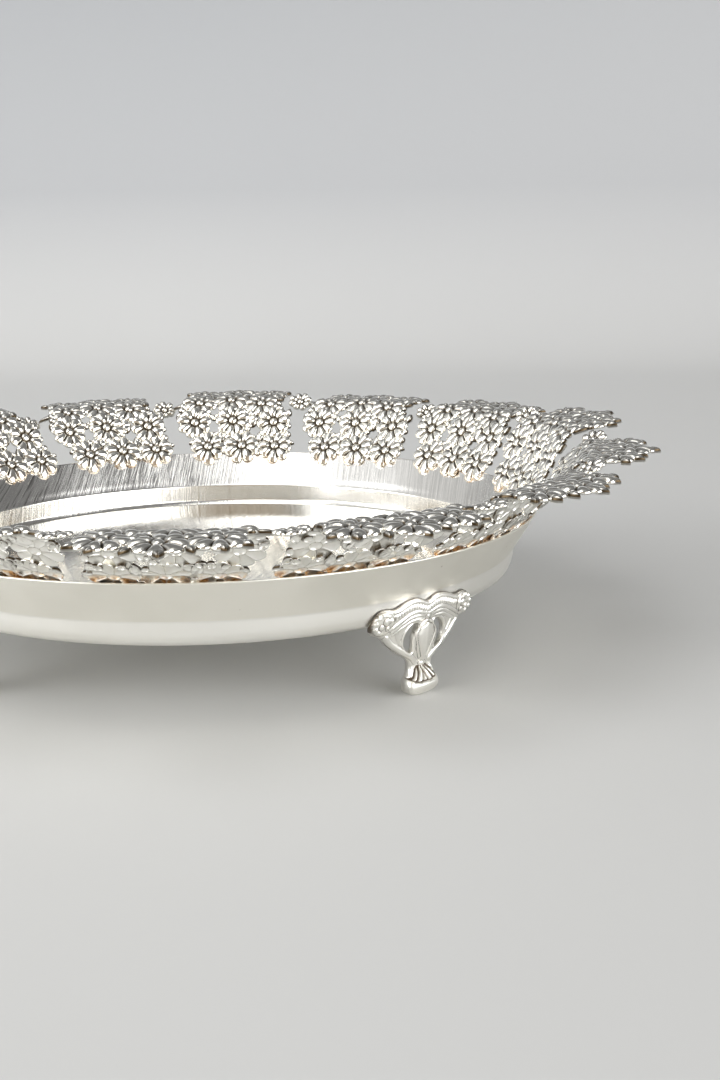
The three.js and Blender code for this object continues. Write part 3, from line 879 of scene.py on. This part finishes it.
def foot_relief(U, V):
    """Height of a foot's ornament, and where thin lines of painted shade lie beside it."""
    u = np.abs(U)
    h = np.zeros(U.shape)
    shade_lines = np.zeros(U.shape)

    # paints a thin line of shade beside the raised ornament
    def paint_shade_line(d, w=0.2, amount=1.0):
        np.maximum(shade_lines, amount * np.exp(-((d / w) ** 2)), out=shade_lines)

    # raised border along the top
    top = open_curve([(0, 34.3), (1.6, 34.8), (3.6, 35.6), (5.8, 36.0), (8.4, 35.8), (11.0, 35.0), (13.4, 34.0), (15.4, 33.7)])
    d, _ = distance(u, V, top, False)
    h = np.maximum(h, ridge(d, 0.75, 0.85))
    paint_shade_line(d - 0.85, 0.22, 0.8)
    # row of teeth below it
    teeth = open_curve([(0.6, 32.3), (2.2, 32.9), (4.0, 33.6), (6.0, 33.9), (8.4, 33.7), (11.0, 32.9), (13.4, 31.9), (15.2, 31.5)])
    d, along = distance(u, V, teeth, False)
    tooth = np.clip(np.cos(along / 1.22 * 2 * math.pi) * 0.75 + 0.55, 0, 1)
    h = np.maximum(h, np.clip(1 - (d / 1.05) ** 4, 0, 1) * (0.25 + 0.6 * tooth))
    # painted shade between the teeth
    np.maximum(shade_lines, 0.75 * (d < 0.95) * (1 - tooth) ** 2, out=shade_lines)
    paint_shade_line(d - 1.2, 0.2, 0.6)
    # three swags below the teeth
    for k, (dv, w, hh) in enumerate(((0.0, 0.72, 0.8), (-1.55, 0.66, 0.75), (-3.0, 0.62, 0.7))):
        end = 16.6 - 0.8 * k
        swag = open_curve(
            [(0.3, 30.6 + dv * 0.45), (2.4, 31.2 + dv * 0.7), (5.0, 31.9 + dv), (8.0, 31.7 + dv), (11.0, 30.4 + dv), (14.0, 28.7 + dv * 0.9), (end, 27.3 + dv * 0.75)]
        )
        d, _ = distance(u, V, swag, False)
        h = np.maximum(h, ridge(d, w, hh))
        paint_shade_line(d - w - 0.06, 0.17, 0.85 if k < 2 else 0.7)
    # shell at each end: a domed pad with small pearls round its edge
    d = np.hypot((u - 20.0) / 4.4, (V - 29.9) / 4.5)
    h = np.maximum(h, 1.35 * np.sqrt(np.clip(1 - d * d, 0, 1)) - 0.25)
    paint_shade_line((d - 0.98) * 4.4, 0.24, 0.9 * 1.0)
    for a in range(7):
        t = math.radians(-65 + a * 38)
        d = np.hypot(u - (20.2 + 3.3 * math.cos(t)), V - (29.9 + 3.4 * math.sin(t)))
        h = np.maximum(h, 0.75 + ridge(d, 0.85, 0.85) - 0.9 * (d > 0.85))
        paint_shade_line(d - 0.95, 0.2, 0.55)
    for cu, cv, rr in ((19.0, 30.8, 1.5), (20.8, 29.0, 1.2), (18.2, 28.2, 1.0)):
        d = np.hypot(u - cu, V - cv)
        h = h + 0.55 * np.sqrt(np.clip(1 - (d / rr) ** 2, 0, 1)) - 0.5 * np.exp(-(((d - rr) / 0.3) ** 2))
        paint_shade_line(d - rr, 0.24, 0.95)
    # raised rim round each slot and the outer stem
    slot = closed_curve(FOOT_SLOT)
    d = distance(u, V, slot)[0]
    h = np.maximum(h, ridge(d - 0.6, 0.6, 0.6))
    paint_shade_line(d - 1.3, 0.2, 0.85)
    stem = open_curve([(17.4, 24.0), (15.2, 21.5), (12.6, 19.4), (9.8, 17.5), (7.2, 15.9), (5.2, 14.4), (3.6, 12.6)])
    d, _ = distance(u, V, stem, False)
    h = np.maximum(h, ridge(d, 1.0, 1.1))
    paint_shade_line(d - 1.08, 0.2, 0.8)
    stem = open_curve([(13.6, 25.4), (12.4, 22.8), (10.6, 20.0), (8.4, 17.2), (6.0, 14.9), (3.4, 13.2)])
    d, _ = distance(u, V, stem, False)
    h = np.maximum(h, ridge(d, 0.6, 0.8))
    paint_shade_line(d - 0.7, 0.18, 0.6)
    # teardrop leaf in the middle with its ridge
    w = np.interp(V, [12.0, 14.0, 17.0, 20.0, 23.0, 25.5, 27.2], [0.5, 1.0, 2.0, 3.1, 3.9, 3.2, 0.2])
    x = u / np.maximum(w, 0.05)
    leaf = np.where((V > 12) & (V < 27.2), 1.75 * np.sqrt(np.clip(1 - x * x, 0, 1)) + 0.15 * np.clip(1 - x * 4, 0, 1), 0)
    h = np.maximum(h, leaf)
    edge = open_curve([(0.4, 27.9), (2.4, 27.0), (4.2, 25.2), (4.7, 23.0), (4.0, 20.0), (2.9, 17.0), (1.8, 14.2)])
    d, _ = distance(u, V, edge, False)
    h = np.maximum(h, ridge(d, 0.5, 0.85))
    paint_shade_line(d - 0.62, 0.2, 1.0)
    # knots: at the meeting of the arches, and at the neck
    for cv, ru, rv, hh in ((29.4, 1.2, 1.0, 1.3), (27.9, 0.9, 0.6, 1.0), (11.6, 1.7, 1.0, 1.7)):
        d = np.hypot(u / ru, (V - cv) / rv)
        h = np.maximum(h, hh * np.sqrt(np.clip(1 - d * d, 0, 1)))
        paint_shade_line((d - 1.12) * ru, 0.24, 1.0)
    # toe: a scroll cut by grooves over a smooth ball
    ball = 1.6 * np.sqrt(np.clip(1 - ((u / 7.4) ** 2 + ((V - 4.0) / 5.4) ** 2), 0, 1))
    h = np.where(V < 9.5, np.maximum(h, ball + 0.4), h)
    for a, b, c in ((0.0, 1.2, 5.6), (1.9, 3.9, 5.9), (3.6, 6.0, 6.6)):
        g = open_curve([(a * 0.6, 10.4), (a, 9.0), (0.5 * (a + b), 7.4), (b, c)])
        d, _ = distance(u, V, g, False)
        h = h - 1.3 * np.exp(-((d / 0.46) ** 2))
        # painted shade along each groove of the scroll
        paint_shade_line(d, 0.52 if a > 1 else 0.34, 1.6)
    arc = open_curve([(0, 5.3), (2.4, 5.2), (4.8, 5.7), (6.6, 6.8)])
    d, _ = distance(u, V, arc, False)
    h = h - 0.9 * np.exp(-((d / 0.4) ** 2))
    paint_shade_line(d, 0.36, 1.3)
    return h, np.clip(shade_lines, 0, 1)


def cut_grid(U, V, F):
    """Polygons of a grid where F > 0, with cells on the border cut along F = 0.
    Returns points (in grid fractions), quads, tris and the border edges."""
    nv, nu = U.shape
    ids = -np.ones(U.shape, int)
    pts = []
    ins = F > 0
    for i, j in zip(*np.nonzero(ins)):
        ids[i, j] = len(pts)
        pts.append((i, j))
    pts = [(float(i), float(j)) for i, j in pts]
    cross = {}

    def on(i1, j1, i2, j2):
        key = (i1, j1, i2, j2) if (i1, j1) < (i2, j2) else (i2, j2, i1, j1)
        if key not in cross:
            a, b = F[key[0], key[1]], F[key[2], key[3]]
            f = a / (a - b)
            cross[key] = len(pts)
            pts.append((key[0] + f * (key[2] - key[0]), key[1] + f * (key[3] - key[1])))
        return cross[key]

    quads, tris, border = [], [], []
    full = ins[:-1, :-1] & ins[:-1, 1:] & ins[1:, 1:] & ins[1:, :-1]
    for i, j in zip(*np.nonzero(full)):
        quads.append((ids[i, j], ids[i, j + 1], ids[i + 1, j + 1], ids[i + 1, j]))
    some = (ins[:-1, :-1] | ins[:-1, 1:] | ins[1:, 1:] | ins[1:, :-1]) & ~full
    for i, j in zip(*np.nonzero(some)):
        ring = [(i, j), (i, j + 1), (i + 1, j + 1), (i + 1, j)]
        poly, cuts = [], []
        for a in range(4):
            p, q = ring[a], ring[(a + 1) % 4]
            if ins[p]:
                poly.append(ids[p])
            if ins[p] != ins[q]:
                c = on(*p, *q)
                poly.append(c)
                cuts.append((len(poly) - 1, ins[p]))
        if len(cuts) == 2:
            (x, leaving), (y, _) = cuts
            border.append((poly[x], poly[y]) if leaving else (poly[y], poly[x]))
        for a in range(1, len(poly) - 1):
            tris.append((poly[0], poly[a], poly[a + 1]))
    return np.array(pts), quads, tris, border


def build_feet():
    step = 0.24
    us = np.arange(-26, 26 + step, step)
    vs = np.arange(-0.6, 37.9, step)
    U, V = np.meshgrid(us, vs)
    half = FOOT_HALF
    outline = closed_curve(half + [(-x, y) for x, y in half[-2:0:-1]], 4)
    F = signed(U, V, outline)
    slot = closed_curve(FOOT_SLOT)
    F = np.minimum(F, -signed(np.abs(U), V, slot))
    pts, quads, tris, border = cut_grid(U, V, F)
    pi, pj = pts[:, 0], pts[:, 1]
    pu, pv = us[0] + pj * step, vs[0] + pi * step
    # relief and rounding towards the border
    i0, j0 = np.floor(pi).astype(int), np.floor(pj).astype(int)
    fi, fj = pi - i0, pj - j0
    i1, j1 = np.minimum(i0 + 1, U.shape[0] - 1), np.minimum(j0 + 1, U.shape[1] - 1)

    def sample(G):
        return (G[i0, j0] * (1 - fj) + G[i0, j1] * fj) * (1 - fi) + (G[i1, j0] * (1 - fj) + G[i1, j1] * fj) * fi

    H, shade_lines = foot_relief(U, V)
    H = H * np.where(V < 11, 0.8, 0.55)
    h = sample(H)
    d = np.maximum(sample(F), 0)
    h = h - 1.1 * (1 - np.sqrt(np.clip(1 - (1 - np.clip(d / 0.9, 0, 1)) ** 2, 0, 1)))
    pv = np.maximum(pv, 0.0)
    front = foot_surface(pu, pv, h - 0.2)
    thick = foot_thickness(pv)
    dent = 0.5 * np.clip(h, 0, 1.2) * (pv > 12)
    back = foot_surface(pu, pv, -thick + dent * 0.4 + 0.25 * (1 - np.clip(d / 0.9, 0, 1)))
    n = len(pts)
    verts = np.vstack([front, back])
    quads = np.array(quads)
    tris = np.array(tris)
    edge = np.array([(a, b, b + n, a + n) for a, b in border])
    allq = np.vstack([quads[:, ::-1], quads + n, edge])
    allt = np.vstack([tris[:, ::-1], tris + n])
    # how deep each point lies, for the darker colour in the grooves: partly tarnish, partly painted shade; the lines
    # beside the ornament are painted shade
    blur = H.copy()
    for _ in range(14):
        blur = (blur + np.roll(blur, 1, 0) + np.roll(blur, -1, 0) + np.roll(blur, 1, 1) + np.roll(blur, -1, 1)) / 5
    rel = np.clip(0.82 + (sample(H) - sample(blur)) * 0.5 - 0.72 * sample(shade_lines), 0, 1)
    # painted shade at the foot's edges and round its slots
    rel = np.minimum(rel, 0.36 + 1.6 * np.clip(d / 0.9, 0, 1))
    # painted shade in the angle between the foot's upper edge and the band, on the front and the back
    upper = (pv > 27) & (d < 0.75)
    rel = np.where(upper, np.minimum(rel, 0.05 + 0.8 * np.clip(d / 0.75, 0, 1)), rel)
    relief = np.r_[rel, np.where(upper, 0.05, 0.7)]
    for k in range(4):
        a = math.radians(FIRST_FOOT_DEG - 90 + 90 * k)
        c, s = math.cos(a), math.sin(a)
        w = verts.copy()
        w[:, 0], w[:, 1] = verts[:, 0] * c - verts[:, 1] * s, verts[:, 0] * s + verts[:, 1] * c
        ob = make_object("cast_foot_%d" % (k + 1), w, allq, allt, {"relief": relief})
        ob.data.materials.append(MAT_FOOT)
        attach(ob, "root")
        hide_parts("foot_%d" % (k + 1))


# ---------------------------------------------------------------- the floor, the light and the camera
ROOM = 0.19
PANEL_TOP = 39.0
PANEL_RIGHT, PANEL_LEFT = 5.3, 5.4
CEILING = 0.8

def build_stage():
    """A pale sweep: a floor that curves up into a backdrop, its colour darkened towards its top and towards the right
    as painted shade.
    """
    ys, zs = list(np.linspace(-2.6, 1.0, 31)), [0.0] * 31
    for k in range(1, 17):
        a = math.radians(78 * k / 16)
        ys.append(1.0 + 0.62 * math.sin(a))
        zs.append(0.62 * (1 - math.cos(a)))
    for d in (0.07, 0.15, 0.23, 0.31):
        ys.append(1.0 + 0.62 * math.sin(math.radians(78)) + d * math.cos(math.radians(78)))
        zs.append(0.62 * (1 - math.cos(math.radians(78))) + d * math.sin(math.radians(78)))
    ys, zs = np.array(ys), np.array(zs)
    xs = np.linspace(-2.4, 2.4, 25)
    v = np.array([(x * 1000, y * 1000, z * 1000) for y, z in zip(ys, zs) for x in xs])
    nx = len(xs)
    quads = [
        (i * nx + j, i * nx + j + 1, (i + 1) * nx + j + 1, (i + 1) * nx + j) for i in range(len(ys) - 1) for j in range(nx - 1)
    ]
    ob = make_object("sweep", v, quads)
    m, nt, b = new_material("paper_sweep")
    g = Graph(nt)
    p = g.object_coords()
    xyz = g.node("ShaderNodeSeparateXYZ")
    g.link(p, xyz.inputs[0])
    grain = g.noise(p, 3.0, 2.0, 0.5)
    base = g.mix(grain, (0.65, 0.65, 0.635, 1), (0.67, 0.67, 0.655, 1))
    # painted shade: the colour gets darker up the backdrop
    base = g.mix(g.ramp(xyz.outputs[2], 0.0, 0.22, smooth=False), base, (0.425, 0.432, 0.440, 1))
    base = g.mix(g.ramp(xyz.outputs[2], 0.22, 0.56, smooth=False), base, (0.338, 0.347, 0.357, 1))
    # painted shade: the colour gets darker towards the right
    right = g.ramp(xyz.outputs[0], -0.2, 1.1, smooth=False)
    base = g.mix(g.math("MULTIPLY", right, 0.5), base, (0.40, 0.40, 0.40, 1))
    g.link(base, b.inputs["Base Color"])
    b.inputs["Roughness"].default_value = 0.85
    b.inputs["Specular IOR Level"].default_value = 0.2
    ob.data.materials.append(m)


def direction(az, el):
    a, e = math.radians(az), math.radians(el)
    return Vector((math.cos(e) * math.cos(a), math.cos(e) * math.sin(a), math.sin(e)))


def area(name, az, el, dist, w, h, radiance, colour=(1, 1, 1), target=(0, 0, 0.05)):
    """A softbox of that radiance, w by h metres, facing the tray."""
    L = bpy.data.lights.new(name, "AREA")
    L.shape = "RECTANGLE"
    L.size, L.size_y = w, h
    L.energy = radiance * math.pi * w * h
    L.color = colour
    o = bpy.data.objects.new(name, L)
    bpy.context.scene.collection.objects.link(o)
    d = direction(az, el)
    o.location = Vector(target) + d * dist
    o.rotation_euler = (-d).to_track_quat("-Z", "Y").to_euler()
    return o


def build_world():
    """Studio surroundings: two large low panels in front, a warm gap between them, a dim room above."""
    w = bpy.data.worlds.new("studio")
    bpy.context.scene.world = w
    w.use_nodes = True
    nt = w.node_tree
    nt.nodes.clear()
    g = Graph(nt)
    out = g.node("ShaderNodeOutputWorld")
    bg = g.node("ShaderNodeBackground")
    g.link(bg.outputs[0], out.inputs[0])
    d = g.node("ShaderNodeTexCoord").outputs["Generated"]
    xyz = g.node("ShaderNodeSeparateXYZ")
    g.link(d, xyz.inputs[0])
    x, y, z = xyz.outputs
    deg = 180 / math.pi
    el = g.math("MULTIPLY", g.math("ARCSINE", z), deg)
    right = g.math("MULTIPLY", g.math("ARCTAN2", y, x), deg)  # 0 to the right, -90 towards the camera
    left = g.math("MULTIPLY", g.math("ARCTAN2", y, g.math("MULTIPLY", x, -1.0)), deg)  # 0 to the left

    def window(v, lo, hi, soft):
        return g.math("MULTIPLY", g.ramp(v, lo - soft, lo + soft), g.ramp(v, hi - soft, hi + soft, 1.0, 0.0))

    low = g.math("MULTIPLY", g.ramp(el, PANEL_TOP - 3, PANEL_TOP + 3, 1.0, 0.0), g.ramp(el, 17, 30, 1.0, 0.42))
    panels = g.math("ADD", g.math("MULTIPLY", window(right, -66, -6, 7), PANEL_RIGHT), g.math("MULTIPLY", window(left, -50, -5, 7), PANEL_LEFT))
    panels = g.math("MULTIPLY", panels, low)
    ceiling = g.math("MULTIPLY", g.math("MULTIPLY", g.ramp(el, 58, 70), g.ramp(x, -0.14, 0.12, 1.0, 0.15)), CEILING)
    side = g.math("MULTIPLY", g.ramp(g.vmath("DOT_PRODUCT", d, tuple(direction(172, 34))), math.cos(math.radians(44)), math.cos(math.radians(10))), 0.46)
    level = g.math("ADD", g.math("ADD", g.math("ADD", panels, side), ceiling), ROOM)
    front = g.math("MULTIPLY", window(right, -120, -64, 12), g.ramp(el, 24, 40, 1.0, 0.0))
    warm = g.mix(front, (1.0, 1.0, 1.0, 1), (1.0, 0.84, 0.66, 1))
    level = g.math("ADD", level, g.math("MULTIPLY", front, 0.28))
    g.link(g.mix(g.ramp(panels, 0.0, 1.0), warm, (0.985, 0.99, 1.0, 1)), bg.inputs["Color"])
    g.link(level, bg.inputs["Strength"])


def build_camera():
    cam = bpy.data.cameras.new("view")
    cam.sensor_width = 36.0
    cam.lens = 1384.1 * 36.0 / 1080.0
    cam.clip_start, cam.clip_end = 0.01, 30.0
    o = bpy.data.objects.new("view", cam)
    bpy.context.scene.collection.objects.link(o)
    o.matrix_world = (
        Matrix.Translation((0.06063, -0.56205, 0.16311))
        @ Matrix.Rotation(math.radians(77.31), 4, "X")
        @ Matrix.Rotation(-0.0157, 4, "Z")
    )
    bpy.context.scene.camera = o


build_dish()
build_floor()
build_rim()
build_feet()
build_stage()
build_world()
area("key", -122, 61, 1.25, 0.80, 0.92, 1.95)
build_camera()
scene = bpy.context.scene
scene.view_settings.view_transform = "Standard"
scene.cycles.max_bounces = 10
scene.cycles.glossy_bounces = 8
